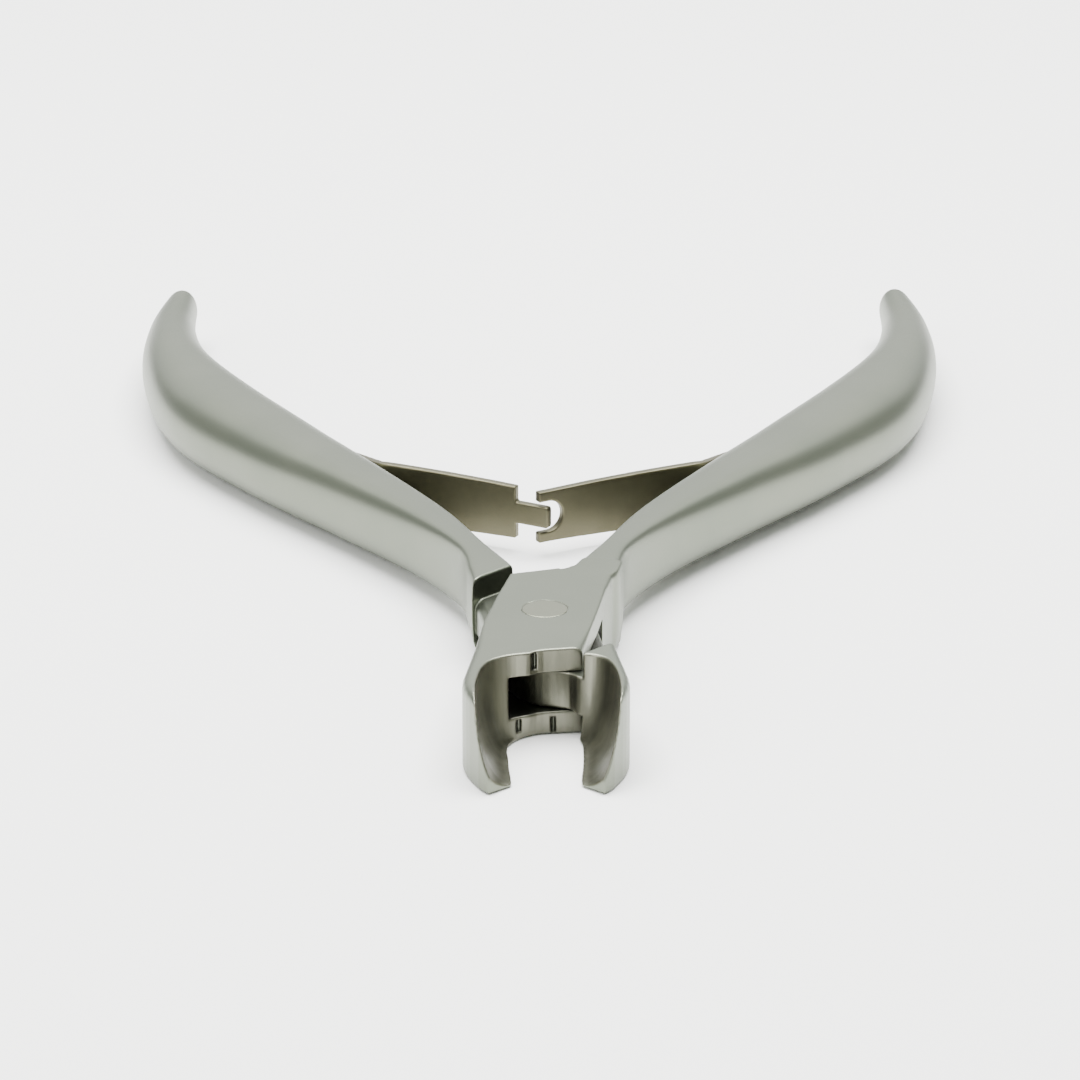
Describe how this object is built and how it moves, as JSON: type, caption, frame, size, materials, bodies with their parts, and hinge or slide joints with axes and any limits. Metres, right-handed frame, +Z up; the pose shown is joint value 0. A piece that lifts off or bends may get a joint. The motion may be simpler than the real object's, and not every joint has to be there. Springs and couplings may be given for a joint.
{
  "type": "sprue nippers",
  "caption": "Box-joint hand nippers with hollow-ground jaws, slim curved handles and two interlocking leaf springs that hold them open.",
  "frame": {"origin": "pivot axis where it meets the flat plane the tool lies on", "axes": "+Z up along the pivot axis, +Y from the jaws towards the handles, +X to the right-hand handle"},
  "size_m": [0.0944, 0.1362, 0.0092],
  "materials": {
    "tool_steel": "fine satin stainless steel, lightly rounded edges",
    "pin_steel": "ground flush with the joint, satin",
    "spring_steel": "darker tempered spring steel, brushed along the leaf",
    "screw_steel": "turned steel with a plain slot"
  },
  "bodies": {
    "male": {"male_half": "tool_steel", "left_spring_root": "spring_steel", "left_spring_screw": "screw_steel"},
    "female": {"female_half": "tool_steel", "pivot_pin": "pin_steel", "right_spring_root": "spring_steel", "right_spring_screw": "screw_steel"},
    "left_leaf": {"left_spring_leaf": "spring_steel"},
    "right_leaf": {"right_spring_leaf": "spring_steel"}
  },
  "joints": [
    {"name": "handles_close", "type": "hinge", "parent": "male", "child": "female", "pos_m": [0, 0, 0.0046], "axis": [0, 0, 1], "range_deg": [0, 16.3], "stiffness_Nm_per_rad": 1.5, "springref_deg": -6.88},
    {"name": "left_spring_flex", "type": "hinge", "parent": "male", "child": "left_leaf", "pos_m": [-0.01705, 0.04577, 0.0046], "axis": [0, 0, 1], "range_deg": [-26, 0]},
    {"name": "right_spring_flex", "type": "hinge", "parent": "female", "child": "right_leaf", "pos_m": [0.01705, 0.04577, 0.0046], "axis": [0, 0, 1], "range_deg": [0, 26]}
  ],
  "couplings": [
    {"joint": "left_spring_flex", "follows": "handles_close", "ratio": -1.5},
    {"joint": "right_spring_flex", "follows": "handles_close", "ratio": 1.5}
  ]
}
